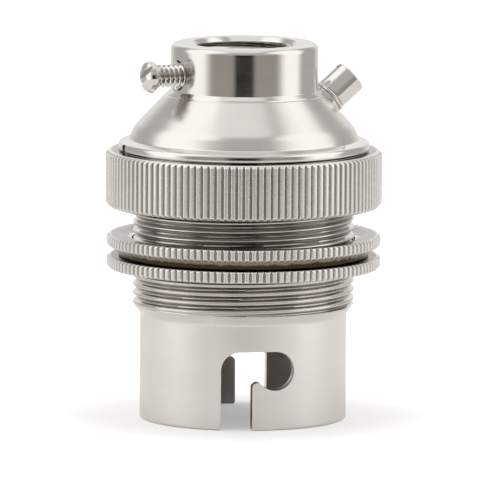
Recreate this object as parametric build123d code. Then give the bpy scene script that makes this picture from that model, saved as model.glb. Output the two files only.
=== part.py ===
from build123d import *
from math import atan2, cos, pi, radians, sin, sqrt
import os

# Bayonet lamp holder for a 22 mm lamp cap, in nickel-plated brass, in millimetres.
# It stands on the mouth of its barrel: +Z is up, the origin is the centre of the mouth,
# the front is towards -Y and the two contact plungers stand left and right along X.

# Clearances
face_gap = 0.05         # between faces that seat on each other and can come apart
running_gap = 0.08      # radial, round what turns or slides in a bore
thread_gap = 0.10       # radial, between two mating threads

# Roundings and chamfers of ordinary edges
fine_round = 0.1        # edges that are only broken
edge_round = 0.15
soft_round = 0.3        # edges that the hand meets
head_edge_round = 0.2
screw_tip_chamfer = 0.3

# Barrel: mouth, contact chamber, thread and flange
mouth_radius = 11.35
mouth_depth = 11.0
mouth_edge_round = 0.12
skirt_wall = 1.6
chamber_step = 0.4
chamber_height = 4.0
moulding_ledge = 0.6
thread_wall = 1.55
flare_start_height = 13.3
flare_height = 1.2
flare_foot_round = 0.6
flare_top_round = 0.4
flange_overhang = 1.1
flange_thickness = 1.4
thread_pitch = 1.12
thread_depth = 0.46
thread_crest_share = 0.3
thread_root_share = 0.14
thread_start_height = 15.51  # middle of the lowest groove

# Bayonet slots, drawn on a plane that faces the viewer and turned round the barrel
slot_count = 2
slot_turn = 9.0         # degrees from the front to the middle of the slot's drawing
channel_left = -4.64
channel_width = 3.8
slot_top_height = 9.86
slot_cutter_radius = 2.41   # of the corner and of the pocket, milled with one cutter
pocket_across = 2.08    # middle of the pocket that holds the lamp pin
hook_radius = 0.64
channel_flare = 0.25    # rounding where the channel meets the rim

# Knurled rings
knurl_teeth = 122
knurl_depth = 0.28
knurl_crest_share = 0.52
knurl_root_share = 0.16
union_ring_wall = 1.97
union_ring_height = 7.0
union_ring_lip = 1.75
union_ring_lip_gap = 0.25
union_ring_bore_gap = 0.35
union_ring_top_chamfer = 0.5
union_ring_foot_chamfer = 0.3
shade_ring_width = 3.15
shade_ring_rim = 1.45
shade_ring_chamfer = 0.15
shade_ring_hub_height = 1.2
shade_ring_hub_width = 1.7
shade_ring_dish_width = 1.6
shade_ring_dish_depth = 0.5
lower_ring_height = 19.05

# Cap
cap_wall = 1.2
cap_step = 0.85         # ledge inside the cap that holds the moulding down
bead_gap = 0.15
bead_overhang = 0.52
bead_height = 1.3
bead_round = 0.45
bead_shoulder = 0.4     # height of the bead's upper slope
dome_land = 1.27        # from the bead's edge in to the foot of the dome
dome_shoulder_inset = 0.8
dome_shoulder_rise = 1.6
dome_shoulder_round = 3.0
dome_inner_round = 1.5
dome_height = 5.5
dome_top_land = 0.15
boss_radius = 9.27
boss_height = 6.55
boss_top_round = 0.75
boss_ridge_width = 0.58
boss_ridge_height = 0.65
boss_ridge_round = 0.25
rod_bore_radius = 6.35
rod_bore_chamfer = 0.55
notch_turn = 72.5       # degrees from the front towards -X
notch_width = 1.2
notch_depth = 0.6
notch_height = 0.9

# Screws in the cap
lock_turn = 64.0        # degrees from the front towards -X
lock_height = 43.55
lock_thread_radius = 1.47
lock_head_radius = 2.07
lock_head_height = 1.5
lock_stand_off = 3.35   # head to boss: the screw is backed out
lock_head_inset = 0.25  # from the head's widest line in to its foot and its dome
lock_head_foot_height = 0.3
lock_head_dome_height = 0.45
lock_head_dome_inset = 1.2
lock_head_round = 0.5
lock_dome_round = 1.2
lock_tip_gap = 0.25     # screw tip to rod bore
lock_countersink = 0.35
lock_slot_lean = 40.0
earth_turn = 24.0       # degrees from the right towards the back
earth_lean = 39.0       # degrees above the horizontal
earth_seat_radius = 10.95
earth_seat_height = 39.45
earth_pad_radius = 2.2
earth_pad_height = 0.6
earth_pad_root = 0.9    # length of the pad inside the dome's wall
earth_washer_radius = 2.3
earth_washer_thickness = 0.45
earth_head_radius = 2.15
earth_head_height = 3.65
earth_thread_radius = 1.47
earth_thread_length = 3.2
slot_width = 0.7
slot_depth = 0.75

# Moulding in two halves
moulding_base_height = 9.0
moulding_cover_height = 6.0
moulding_floor = 3.0
moulding_rim_wall = 1.25
moulding_flange_overhang = 1.55
moulding_flange_thickness = 1.2
partition_width = 2.2
partition_length = 12.4
partition_height = 9.0
key_width = 2.8
key_depth = 1.2
key_reach = 0.9
cover_floor_round = 0.4
creepage_groove_width = 1.2
creepage_groove_depth = 0.6
cover_screw_offset = 8.4
cover_screw_radius = 1.2
cover_screw_length = 6.5
cover_screw_head_radius = 1.9
cover_screw_head_height = 1.1

# Contacts: plunger, spring and terminal on each side
plunger_offset = 5.5
plunger_tip_height = 11.6
plunger_radius = 2.0
plunger_tip_round = 1.1
collar_radius = 2.5
collar_height = 1.2
spigot_round = 0.3
spigot_radius = 1.25
spigot_height = 1.6
contact_ledge = 2.0     # thickness of moulding that the collar rests on
socket_wall = 0.52
socket_roof = 0.8
spring_wire_radius = 0.2
spring_turns = 5
post_width = 5.0
post_length = 6.0
post_height = 7.5
cable_hole_radius = 1.25
cable_hole_height = 5.2
terminal_screw_radius = 1.27
terminal_screw_length = 1.9
terminal_head_radius = 2.1
terminal_head_height = 1.4
fine_slot_width = 0.6
fine_slot_depth = 0.7
cover_slot_lean = 25.0
cover_slot_turn = 70.0  # between the slots of the two cover screws
terminal_slot_lean = 20.0
cut_margin = 1.0        # how far cutters run past the faces that they open

# Sizes that follow from the ones above
skirt_radius = mouth_radius + skirt_wall
chamber_radius = mouth_radius + chamber_step
moulding_bore_radius = chamber_radius + moulding_ledge
barrel_thread_radius = moulding_bore_radius + thread_wall
barrel_flange_radius = barrel_thread_radius + flange_overhang
moulding_seat = mouth_depth + chamber_height
barrel_top = moulding_seat + moulding_base_height + moulding_cover_height
flange_foot = barrel_top - flange_thickness
moulding_radius = moulding_bore_radius - running_gap

union_ring_foot = flange_foot - face_gap - union_ring_lip
union_ring_top = union_ring_foot + union_ring_height
union_ring_bore = barrel_flange_radius + union_ring_bore_gap
union_ring_radius = union_ring_bore + union_ring_wall
shade_ring_bore = barrel_thread_radius + thread_gap
shade_ring_radius = shade_ring_bore + shade_ring_width
lower_ring_top = lower_ring_height + shade_ring_rim
upper_ring_foot = lower_ring_top + face_gap
upper_rim_foot = upper_ring_foot + shade_ring_hub_height
upper_ring_top = upper_rim_foot + shade_ring_rim

cap_thread_radius = union_ring_bore - thread_gap
cap_foot = barrel_top + face_gap
cap_skirt_bore = cap_thread_radius - cap_wall
cap_step_height = barrel_top + moulding_flange_thickness + face_gap
cavity_radius = cap_skirt_bore - cap_step
bead_foot = union_ring_top + bead_gap
bead_radius = cap_thread_radius + bead_overhang
bead_top = bead_foot + bead_height
dome_foot_radius = bead_radius - dome_land
dome_shoulder_radius = dome_foot_radius - dome_shoulder_inset
boss_ridge_radius = boss_radius + boss_ridge_width
dome_top_radius = boss_ridge_radius + dome_top_land
dome_shoulder_height = bead_top + dome_shoulder_rise
dome_top = bead_top + dome_height
boss_foot = dome_top + boss_ridge_height
cap_top = dome_top + boss_height
moulding_flange_radius = moulding_radius + moulding_flange_overhang

base_foot = moulding_seat + face_gap
cover_foot = moulding_seat + moulding_base_height
cover_floor_top = cover_foot + moulding_floor
cover_top = barrel_top + moulding_flange_thickness
contact_seat = base_foot + contact_ledge
socket_bore = collar_radius + running_gap
socket_radius = socket_bore + socket_wall
well_radius = socket_radius + running_gap
plunger_hole_radius = plunger_radius + running_gap
spring_seat = contact_seat + collar_height
socket_ceiling = cover_foot - socket_roof
spring_radius = (spigot_radius + socket_bore) / 2
post_top = cover_foot + post_height
terminal_hole_radius = terminal_screw_radius + running_gap
lock_hole_radius = lock_thread_radius + running_gap
earth_hole_radius = earth_thread_radius + running_gap

# Directions and places of the screws in the cap
lock_direction = Vector(-sin(radians(lock_turn)), -cos(radians(lock_turn)), 0)
earth_flat = Vector(cos(radians(earth_turn)), sin(radians(earth_turn)), 0)
earth_direction = earth_flat * cos(radians(earth_lean)) + Vector(0, 0, sin(radians(earth_lean)))
earth_seat = earth_flat * earth_seat_radius + Vector(0, 0, earth_seat_height)


def turned(*corners):
    """Solid turned about Z from an outline of (radius, height, rounding) corners."""
    points = [(radius, height) for radius, height, _ in corners]
    rounds = [rounding for _, _, rounding in corners]
    outline = FilletPolyline(*points, radius=rounds, close=True)
    return revolve(Plane.XZ * make_face(outline), Axis.Z)


def rod(radius, foot, top):
    """Plain round rod on Z between two heights."""
    return Pos(0, 0, foot) * extrude(Circle(radius), top - foot)


def along(direction, start):
    """Place whose Z runs along a direction from a starting point."""
    return Location(Plane(origin=start, z_dir=direction))


def screw_slot(width, depth, head_radius, head_top, lean=0.0):
    """Cutter for a straight screwdriver slot across a head whose top is at head_top."""
    block = Box(2 * (head_radius + cut_margin), width, 2 * depth)
    return Rot(0, 0, lean) * Pos(0, 0, head_top) * block


def knurled(outline_solid, radius):
    """Cut a straight knurl into the rim of a turned blank."""
    half_crest = knurl_crest_share * pi / knurl_teeth
    half_root = pi / knurl_teeth * (1 - knurl_root_share)
    root_radius = radius - knurl_depth
    corners = []
    for tooth in range(knurl_teeth):
        middle = 2 * pi * tooth / knurl_teeth
        corners.append((radius, middle - half_crest))
        corners.append((radius, middle + half_crest))
        corners.append((root_radius, middle + half_root))
        corners.append((root_radius, middle + 2 * pi / knurl_teeth - half_root))
    points = [(distance * cos(turn), distance * sin(turn)) for distance, turn in corners]
    prism = extrude(make_face(Polyline(*points, close=True)), 2 * cap_top, both=True)
    return outline_solid & prism


def slot_outline():
    """Outline of one bayonet slot: channel, turn over the hook and pocket for the lamp pin."""
    channel_right = channel_left + channel_width
    turn_height = slot_top_height - slot_cutter_radius
    hook_across = channel_right + hook_radius
    reach = slot_cutter_radius + hook_radius
    across = pocket_across - hook_across
    drop = sqrt(reach * reach - across * across)
    hook_height = turn_height - drop
    side, fall = across / reach, drop / reach
    meeting = (hook_across + hook_radius * side, hook_height + hook_radius * fall)
    hook_crest = Vector(side - 1, fall).normalized() * hook_radius
    corner_end = channel_left + slot_cutter_radius
    corner_crest = slot_cutter_radius * sqrt(0.5)
    below_rim = -2 * channel_flare
    left_side = Line((channel_left, below_rim), (channel_left, turn_height))
    corner = ThreePointArc(
        (channel_left, turn_height),
        (corner_end - corner_crest, turn_height + corner_crest),
        (corner_end, slot_top_height),
    )
    roof = Line((corner_end, slot_top_height), (pocket_across, slot_top_height))
    pocket_side = (pocket_across + slot_cutter_radius, turn_height)
    pocket = ThreePointArc((pocket_across, slot_top_height), pocket_side, meeting)
    hook_middle = (hook_across + hook_crest.X, hook_height + hook_crest.Y)
    hook = ThreePointArc(meeting, hook_middle, (channel_right, hook_height))
    right_side = Line((channel_right, hook_height), (channel_right, below_rim))
    rim = Line((channel_right, below_rim), (channel_left, below_rim))
    return make_face(Curve() + [left_side, corner, roof, pocket, hook, right_side, rim])


def slot_cutters():
    """Cutters for the bayonet slots, spaced evenly round the barrel."""
    outward = Vector(sin(radians(slot_turn)), -cos(radians(slot_turn)), 0)
    sideways = Vector(cos(radians(slot_turn)), sin(radians(slot_turn)), 0)
    drawing = Plane(origin=(0, 0, 0), x_dir=sideways, z_dir=outward)
    channel_right = channel_left + channel_width
    foot_width = channel_width + 2 * channel_flare
    foot = Pos((channel_left + channel_right) / 2, 0) * Rectangle(foot_width, 2 * channel_flare)
    for side in (channel_left - channel_flare, channel_right + channel_flare):
        foot -= Pos(side, channel_flare) * Circle(channel_flare)
    outline = slot_outline() + foot
    cutter = extrude(drawing * outline, skirt_radius + cut_margin)
    return [Rot(0, 0, 360 * number / slot_count) * cutter for number in range(slot_count)]


def neck_thread():
    """Outline corners of the neck's thread, as one sloping-sided groove for each turn."""
    root_radius = barrel_thread_radius - thread_depth
    half_root = thread_root_share * thread_pitch / 2
    half_mouth = (1 - thread_crest_share) * thread_pitch / 2
    room = flange_foot - thread_start_height - half_mouth
    corners = []
    for turn in range(int(room / thread_pitch) + 1):
        middle = thread_start_height + turn * thread_pitch
        corners.append((barrel_thread_radius, middle - half_mouth, 0))
        corners.append((root_radius, middle - half_root, 0))
        corners.append((root_radius, middle + half_root, 0))
        corners.append((barrel_thread_radius, middle + half_mouth, 0))
    return corners


def make_barrel():
    """Skirt with its bayonet slots, threaded neck and top flange, turned in one piece."""
    blank = turned(
        (mouth_radius, 0, mouth_edge_round),
        (skirt_radius, 0, soft_round),
        (skirt_radius, flare_start_height, flare_foot_round),
        (barrel_thread_radius, flare_start_height + flare_height, flare_top_round),
        *neck_thread(),
        (barrel_thread_radius, flange_foot, 0),
        (barrel_flange_radius, flange_foot, fine_round),
        (barrel_flange_radius, barrel_top, fine_round),
        (moulding_bore_radius, barrel_top, 0),
        (moulding_bore_radius, moulding_seat, 0),
        (chamber_radius, moulding_seat, 0),
        (chamber_radius, mouth_depth, 0),
        (mouth_radius, mouth_depth, 0),
    )
    for cutter in slot_cutters():
        blank -= cutter
    key_slot_width = key_width + 2 * running_gap
    key_slot_reach = moulding_bore_radius + key_reach
    key_slot = Box(2 * key_slot_reach, key_slot_width, 2 * (key_depth + running_gap))
    return blank - Pos(0, 0, barrel_top) * key_slot


def make_union_ring():
    """Large knurled ring: its lip holds the barrel's flange and its thread takes the cap."""
    lip_bore = barrel_thread_radius + union_ring_lip_gap
    lip_top = union_ring_foot + union_ring_lip
    blank = turned(
        (lip_bore, union_ring_foot, edge_round),
        (union_ring_radius - union_ring_foot_chamfer, union_ring_foot, 0),
        (union_ring_radius, union_ring_foot + union_ring_foot_chamfer, 0),
        (union_ring_radius, union_ring_top - union_ring_top_chamfer, 0),
        (union_ring_radius - union_ring_top_chamfer, union_ring_top, 0),
        (union_ring_bore, union_ring_top, fine_round),
        (union_ring_bore, lip_top, 0),
        (lip_bore, lip_top, 0),
    )
    return knurled(blank, union_ring_radius)


def make_lower_shade_ring():
    """Flat knurled ring that clamps a shade from below."""
    blank = turned(
        (shade_ring_bore, lower_ring_height, 0),
        (shade_ring_radius - shade_ring_chamfer, lower_ring_height, 0),
        (shade_ring_radius, lower_ring_height + shade_ring_chamfer, 0),
        (shade_ring_radius, lower_ring_top - shade_ring_chamfer, 0),
        (shade_ring_radius - shade_ring_chamfer, lower_ring_top, 0),
        (shade_ring_bore, lower_ring_top, 0),
    )
    return knurled(blank, shade_ring_radius)


def make_upper_shade_ring():
    """Knurled rim on a narrower hub, with a dished top round the thread."""
    hub_radius = shade_ring_bore + shade_ring_hub_width
    dish_radius = shade_ring_bore + shade_ring_dish_width
    dish_foot = upper_ring_top - shade_ring_dish_depth
    blank = turned(
        (shade_ring_bore, upper_ring_foot, 0),
        (hub_radius, upper_ring_foot, fine_round),
        (hub_radius, upper_rim_foot, 0),
        (shade_ring_radius - shade_ring_chamfer, upper_rim_foot, 0),
        (shade_ring_radius, upper_rim_foot + shade_ring_chamfer, 0),
        (shade_ring_radius, upper_ring_top - shade_ring_chamfer, 0),
        (shade_ring_radius - shade_ring_chamfer, upper_ring_top, 0),
        (dish_radius, upper_ring_top, fine_round),
        (shade_ring_bore, dish_foot, 0),
    )
    return knurled(blank, shade_ring_radius)


def make_cap():
    """Spun cap: thread and bead below, dome, and a boss bored for a threaded rod."""
    slope = atan2(dome_top - dome_shoulder_height, dome_shoulder_radius - dome_top_radius)
    inset_across = cap_wall * sin(slope)
    inset_down = cap_wall * cos(slope)
    roof = dome_top - inset_down
    bore_top = cap_top - rod_bore_chamfer
    shape = turned(
        (cap_thread_radius, cap_foot, edge_round),
        (cap_thread_radius, bead_foot, 0),
        (bead_radius, bead_foot, fine_round),
        (bead_radius, bead_top - bead_shoulder, bead_round),
        (dome_foot_radius, bead_top, soft_round),
        (dome_shoulder_radius, dome_shoulder_height, dome_shoulder_round),
        (dome_top_radius, dome_top, fine_round),
        (boss_ridge_radius, dome_top, 0),
        (boss_ridge_radius, boss_foot, boss_ridge_round),
        (boss_radius, boss_foot, fine_round),
        (boss_radius, cap_top, boss_top_round),
        (rod_bore_radius + rod_bore_chamfer, cap_top, edge_round),
        (rod_bore_radius, bore_top, 0),
        (rod_bore_radius, roof, 0),
        (dome_top_radius - inset_across, roof, soft_round),
        (dome_shoulder_radius - inset_across, dome_shoulder_height - inset_down, dome_inner_round),
        (cavity_radius, bead_foot, 0),
        (cavity_radius, cap_step_height, 0),
        (cap_skirt_bore, cap_step_height, 0),
        (cap_skirt_bore, cap_foot, 0),
    )
    pad_place = along(earth_direction, earth_seat)
    shape += pad_place * rod(earth_pad_radius, -earth_pad_root, earth_pad_height)
    earth_reach = earth_pad_root + earth_pad_height + cap_wall
    shape -= pad_place * rod(earth_hole_radius, -earth_reach, earth_reach)
    lock_place = along(lock_direction, Vector(0, 0, lock_height))
    shape -= lock_place * rod(lock_hole_radius, 0, boss_radius + cut_margin)
    countersink_depth = 2 * lock_countersink
    countersink = Cone(lock_hole_radius, lock_hole_radius + countersink_depth, countersink_depth)
    shape -= lock_place * Pos(0, 0, boss_radius) * countersink
    notch = Box(notch_width, 2 * notch_depth, notch_height)
    notch_place = Rot(0, 0, -notch_turn) * Pos(0, -bead_radius, bead_foot + notch_height / 2)
    return shape - notch_place * notch


def make_rod_locking_screw():
    """Slotted round-head screw that locks the rod, backed out from the boss."""
    head_foot = boss_radius + lock_stand_off
    head_top = head_foot + lock_head_height
    tip = rod_bore_radius + lock_tip_gap
    shape = turned(
        (0, tip, 0),
        (lock_thread_radius - screw_tip_chamfer, tip, 0),
        (lock_thread_radius, tip + screw_tip_chamfer, 0),
        (lock_thread_radius, head_foot, 0),
        (lock_head_radius - lock_head_inset, head_foot, fine_round),
        (lock_head_radius, head_foot + lock_head_foot_height, head_edge_round),
        (lock_head_radius - lock_head_inset, head_top - lock_head_dome_height, lock_head_round),
        (lock_head_radius - lock_head_dome_inset, head_top, lock_dome_round),
        (0, head_top, 0),
    )
    shape -= screw_slot(slot_width, slot_depth, lock_head_radius, head_top, lock_slot_lean)
    return along(lock_direction, Vector(0, 0, lock_height)) * shape


def make_earth_washer():
    """Round-edged washer between the pad on the dome and the head of the earth screw."""
    washer_foot = earth_pad_height + face_gap
    washer_top = washer_foot + earth_washer_thickness
    shape = turned(
        (earth_hole_radius, washer_foot, 0),
        (earth_washer_radius, washer_foot, head_edge_round),
        (earth_washer_radius, washer_top, head_edge_round),
        (earth_hole_radius, washer_top, 0),
    )
    return along(earth_direction, earth_seat) * shape


def make_earth_terminal_screw():
    """Long cylindrical slotted head that clamps the earth wire on the washer."""
    head_foot = earth_pad_height + 2 * face_gap + earth_washer_thickness
    head_top = head_foot + earth_head_height
    tip = head_foot - earth_thread_length
    shape = turned(
        (0, tip, 0),
        (earth_thread_radius - screw_tip_chamfer, tip, 0),
        (earth_thread_radius, tip + screw_tip_chamfer, 0),
        (earth_thread_radius, head_foot, 0),
        (earth_head_radius, head_foot, fine_round),
        (earth_head_radius, head_top, head_edge_round),
        (0, head_top, 0),
    )
    shape -= screw_slot(slot_width, slot_depth, earth_head_radius, head_top)
    return along(earth_direction, earth_seat) * shape


def make_moulding_base():
    """Lower half of the moulding: two stepped wells for the sprung contacts."""
    shape = turned(
        (0, base_foot, 0),
        (moulding_radius, base_foot, soft_round),
        (moulding_radius, cover_foot, edge_round),
        (0, cover_foot, 0),
    )
    for side in (-1, 1):
        place = Pos(side * plunger_offset, 0, 0)
        shape -= place * rod(well_radius, contact_seat, cover_foot + cut_margin)
        shape -= place * rod(plunger_hole_radius, base_foot - cut_margin, contact_seat)
    groove = Box(creepage_groove_width, 2 * moulding_radius, 2 * creepage_groove_depth)
    shape -= Pos(0, 0, base_foot) * groove
    hole_foot = cover_floor_top - cover_screw_length - running_gap
    for side in (-1, 1):
        hole = rod(cover_screw_radius + running_gap, hole_foot, cover_foot)
        shape -= Pos(0, side * cover_screw_offset, 0) * hole
    return shape


def make_moulding_cover():
    """Upper half: a cup with a flange, two keys, a partition and windows for the posts."""
    shape = turned(
        (0, cover_foot, 0),
        (moulding_radius, cover_foot, edge_round),
        (moulding_radius, barrel_top, 0),
        (moulding_flange_radius, barrel_top, fine_round),
        (moulding_flange_radius, cover_top, edge_round),
        (moulding_radius - moulding_rim_wall, cover_top, soft_round),
        (moulding_radius - moulding_rim_wall, cover_floor_top, cover_floor_round),
        (0, cover_floor_top, 0),
    )
    partition = Box(partition_width, partition_length, partition_height)
    partition = fillet(partition.edges().group_by(Axis.Z)[-1], soft_round)
    shape += Pos(0, 0, cover_foot + partition_height / 2) * partition
    for side in (-1, 1):
        window = Box(post_width + 2 * running_gap, post_length + 2 * running_gap, moulding_floor * 2)
        shape -= Pos(side * plunger_offset, 0, cover_floor_top - moulding_floor) * window
        hole = rod(cover_screw_radius + running_gap, cover_foot, cover_floor_top)
        shape -= Pos(0, side * cover_screw_offset, 0) * hole
        key = Box(key_reach + moulding_rim_wall, key_width, key_depth)
        key_middle = moulding_radius + (key_reach - moulding_rim_wall) / 2
        shape += Pos(side * key_middle, 0, barrel_top - key_depth / 2) * key
    return shape


def make_cover_screws():
    """Two screws that hold the halves of the moulding together."""
    head_top = cover_floor_top + cover_screw_head_height
    shape = turned(
        (0, cover_floor_top - cover_screw_length, 0),
        (cover_screw_radius, cover_floor_top - cover_screw_length, head_edge_round),
        (cover_screw_radius, cover_floor_top, 0),
        (cover_screw_head_radius, cover_floor_top, 0),
        (cover_screw_head_radius, head_top, head_edge_round),
        (0, head_top, 0),
    )
    lean = cover_slot_lean
    shape -= screw_slot(fine_slot_width, fine_slot_depth, cover_screw_head_radius, head_top, lean)
    front = Pos(0, -cover_screw_offset, 0) * shape
    back = Pos(0, cover_screw_offset, 0) * Rot(0, 0, cover_slot_turn) * shape
    return Compound(children=[front, back])


def make_plunger(side):
    """Brass contact with a rounded nose, a collar that retains it and a spigot for its spring."""
    shape = turned(
        (0, plunger_tip_height, 0),
        (plunger_radius, plunger_tip_height, plunger_tip_round),
        (plunger_radius, contact_seat + face_gap, 0),
        (collar_radius, contact_seat + face_gap, fine_round),
        (collar_radius, spring_seat, fine_round),
        (spigot_radius, spring_seat, 0),
        (spigot_radius, spring_seat + spigot_height, spigot_round),
        (0, spring_seat + spigot_height, 0),
    )
    return Pos(side * plunger_offset, 0, 0) * shape


def make_spring(side):
    """Coil spring between the collar of a plunger and the roof of its socket."""
    room = socket_ceiling - spring_seat
    coil_height = room - 2 * spring_wire_radius - 2 * face_gap
    path = Helix(pitch=coil_height / spring_turns, height=coil_height, radius=spring_radius)
    section = Plane(origin=path @ 0, z_dir=path % 0) * Circle(spring_wire_radius)
    coil = sweep(section, path=path, is_frenet=True)
    return Pos(side * plunger_offset, 0, spring_seat + face_gap + spring_wire_radius) * coil


def make_terminal(side):
    """Brass socket for the plunger with the terminal post on top, bored for the wire."""
    shape = turned(
        (socket_bore, contact_seat, 0),
        (socket_radius, contact_seat, fine_round),
        (socket_radius, cover_foot, 0),
        (0, cover_foot, 0),
        (0, socket_ceiling, 0),
        (socket_bore, socket_ceiling, 0),
    )
    post = Box(post_width, post_length, post_height)
    post = chamfer(post.edges().group_by(Axis.Z)[-1], soft_round)
    shape += Pos(0, 0, cover_foot + post_height / 2) * post
    cable_hole = Rot(90, 0, 0) * Cylinder(cable_hole_radius, post_length + 2 * cut_margin)
    shape -= Pos(0, 0, cover_foot + cable_hole_height) * cable_hole
    shape -= rod(terminal_hole_radius, cover_foot + cable_hole_height, post_top + cut_margin)
    return Pos(side * plunger_offset, 0, 0) * shape


def make_terminal_screw(side):
    """Slotted screw that clamps the wire in its terminal post."""
    head_foot = post_top + face_gap
    head_top = head_foot + terminal_head_height
    tip = head_foot - terminal_screw_length
    shape = turned(
        (0, tip, 0),
        (terminal_screw_radius, tip, soft_round),
        (terminal_screw_radius, head_foot, 0),
        (terminal_head_radius, head_foot, 0),
        (terminal_head_radius, head_top, head_edge_round),
        (0, head_top, 0),
    )
    lean = side * terminal_slot_lean
    shape -= screw_slot(fine_slot_width, fine_slot_depth, terminal_head_radius, head_top, lean)
    return Pos(side * plunger_offset, 0, 0) * shape


pieces = {
    "barrel": make_barrel(),
    "union_ring": make_union_ring(),
    "lower_shade_ring": make_lower_shade_ring(),
    "upper_shade_ring": make_upper_shade_ring(),
    "cap": make_cap(),
    "rod_locking_screw": make_rod_locking_screw(),
    "earth_washer": make_earth_washer(),
    "earth_terminal_screw": make_earth_terminal_screw(),
    "moulding_base": make_moulding_base(),
    "moulding_cover": make_moulding_cover(),
    "cover_screws": make_cover_screws(),
}
for name, side in (("left", -1), ("right", 1)):
    pieces["contact_plunger_" + name] = make_plunger(side)
    pieces["plunger_spring_" + name] = make_spring(side)
    pieces["terminal_" + name] = make_terminal(side)
    pieces["terminal_screw_" + name] = make_terminal_screw(side)

os.makedirs("parts", exist_ok=True)
for name, shape in pieces.items():
    export_step(shape, "parts/" + name + ".step")
    print(name, "volume", round(shape.volume, 2), "mm3")
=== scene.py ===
# %% [markdown]
# # Bayonet lamp holder
# The solids of this lamp holder come from its CAD model: plain turned shapes with their slots and
# knurls. The neck's thread is there as separate turned grooves, and the other threads are plain walls.
# This lesson gives them what a camera sees from close by: helical rounded threads, soft tooth edges,
# slot edges broken with a file, and a satin nickel plate.
# Everything stays in the CAD model's frame, in metres, so no piece has to be fitted afterwards.

# %% Load the frame
from itertools import product
from math import acos, ceil, cos, hypot, pi, radians, sin, sqrt, tan
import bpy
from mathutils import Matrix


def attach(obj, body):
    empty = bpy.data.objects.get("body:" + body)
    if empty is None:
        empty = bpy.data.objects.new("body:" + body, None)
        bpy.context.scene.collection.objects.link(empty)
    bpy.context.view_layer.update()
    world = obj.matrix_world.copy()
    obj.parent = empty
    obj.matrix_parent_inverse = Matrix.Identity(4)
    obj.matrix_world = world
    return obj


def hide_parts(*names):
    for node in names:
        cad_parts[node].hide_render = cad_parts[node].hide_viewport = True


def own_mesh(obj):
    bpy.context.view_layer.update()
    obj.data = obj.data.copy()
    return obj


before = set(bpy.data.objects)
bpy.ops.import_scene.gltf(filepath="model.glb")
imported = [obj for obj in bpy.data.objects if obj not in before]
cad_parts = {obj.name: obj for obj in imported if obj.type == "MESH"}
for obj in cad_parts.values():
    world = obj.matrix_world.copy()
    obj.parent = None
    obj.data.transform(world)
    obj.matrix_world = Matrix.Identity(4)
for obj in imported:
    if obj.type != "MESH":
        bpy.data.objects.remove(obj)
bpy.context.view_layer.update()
from types import SimpleNamespace
import bpy
from mathutils import Matrix, Vector

mm = 0.001

# %% [markdown]
# ## Camera
# The photograph was taken from the front, a little above the holder, with a long lens: the rims are
# narrow ellipses and the sides stay parallel. So the camera stands far back and its lens is chosen so
# that one millimetre at the holder covers as many pixels as in the photograph.

# %% Place the camera
photo_width = 484
pixels_per_mm = 7.97
camera_distance = 1500 * mm
camera_elevation = radians(7.4)
camera_roll = radians(0.3)
aim = Vector((-0.19, 0, 22.1)) * mm


def add_camera():
    """Camera in front of the holder, looking slightly down at the aim point."""
    data = bpy.data.cameras.new("photo_camera")
    data.sensor_width = 36
    data.lens = data.sensor_width * camera_distance / (photo_width / pixels_per_mm * mm)
    data.clip_start = 0.01
    data.clip_end = 20
    camera = bpy.data.objects.new("photo_camera", data)
    bpy.context.scene.collection.objects.link(camera)
    towards = Vector((0, -cos(camera_elevation), sin(camera_elevation)))
    camera.location = aim + towards * camera_distance
    level = (-towards).to_track_quat("-Z", "Y").to_matrix()
    camera.rotation_euler = (level @ Matrix.Rotation(camera_roll, 3, "Z")).to_euler()
    bpy.context.scene.camera = camera
    return camera


camera = add_camera()
print("lens", round(camera.data.lens), "mm")

# %% [markdown]
# ## Turned pieces
# Nearly every piece here was made on a lathe, so it is an outline of radii and heights spun round an
# axis. An outline could be spun with the Screw modifier, but building the grid of points directly
# keeps every ring of points where a thread or a knurl will need it. Each corner of an outline has
# its own rounding, because no machined edge is perfectly sharp and the rounding catches the light.
# A ring of points right beside each rounding keeps the shading of a long wall perfectly straight.

# %% Round an outline's corners
arc_step = radians(14)
support_gap = 0.04
long_wall = 0.8


def beside(x, y, neighbour, way, reach):
    """One more point just past a rounding, where a long wall begins."""
    if Vector((neighbour[0] - x, neighbour[1] - y)).length <= reach + long_wall:
        return []
    near = Vector((x, y)) + way * (reach + support_gap)
    return [(near.x, near.y)]


def rounded(corners, closed=True):
    """Points of an outline of (radius, height, rounding) corners, in mm, with arcs at the corners."""
    points = []
    count = len(corners)
    for index, (x, y, rounding) in enumerate(corners):
        at_end = not closed and index in (0, count - 1)
        if rounding == 0 or at_end:
            points.append((x, y))
            continue
        before = corners[index - 1]
        after = corners[(index + 1) % count]
        back = Vector((before[0] - x, before[1] - y)).normalized()
        ahead = Vector((after[0] - x, after[1] - y)).normalized()
        half = acos(max(-1, min(1, back.dot(ahead)))) / 2
        reach = rounding / tan(half)
        middle = Vector((x, y)) + (back + ahead).normalized() * (rounding / sin(half))
        start = Vector((x, y)) + back * reach - middle
        turn = pi - 2 * half
        way = 1 if back.x * ahead.y - back.y * ahead.x < 0 else -1
        steps = max(2, ceil(turn / arc_step))
        points += beside(x, y, before, back, reach)
        for step in range(steps + 1):
            angle = way * turn * step / steps
            x_step = start.x * cos(angle) - start.y * sin(angle)
            y_step = start.x * sin(angle) + start.y * cos(angle)
            points.append((middle.x + x_step, middle.y + y_step))
        points += beside(x, y, after, ahead, reach)
    return points


print("a rounded square has", len(rounded([(0, 0, 1), (9, 0, 1), (9, 9, 1), (0, 9, 1)])), "points")


# %% Add rings of points where a thread will be
wall_tolerance = 0.03


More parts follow.
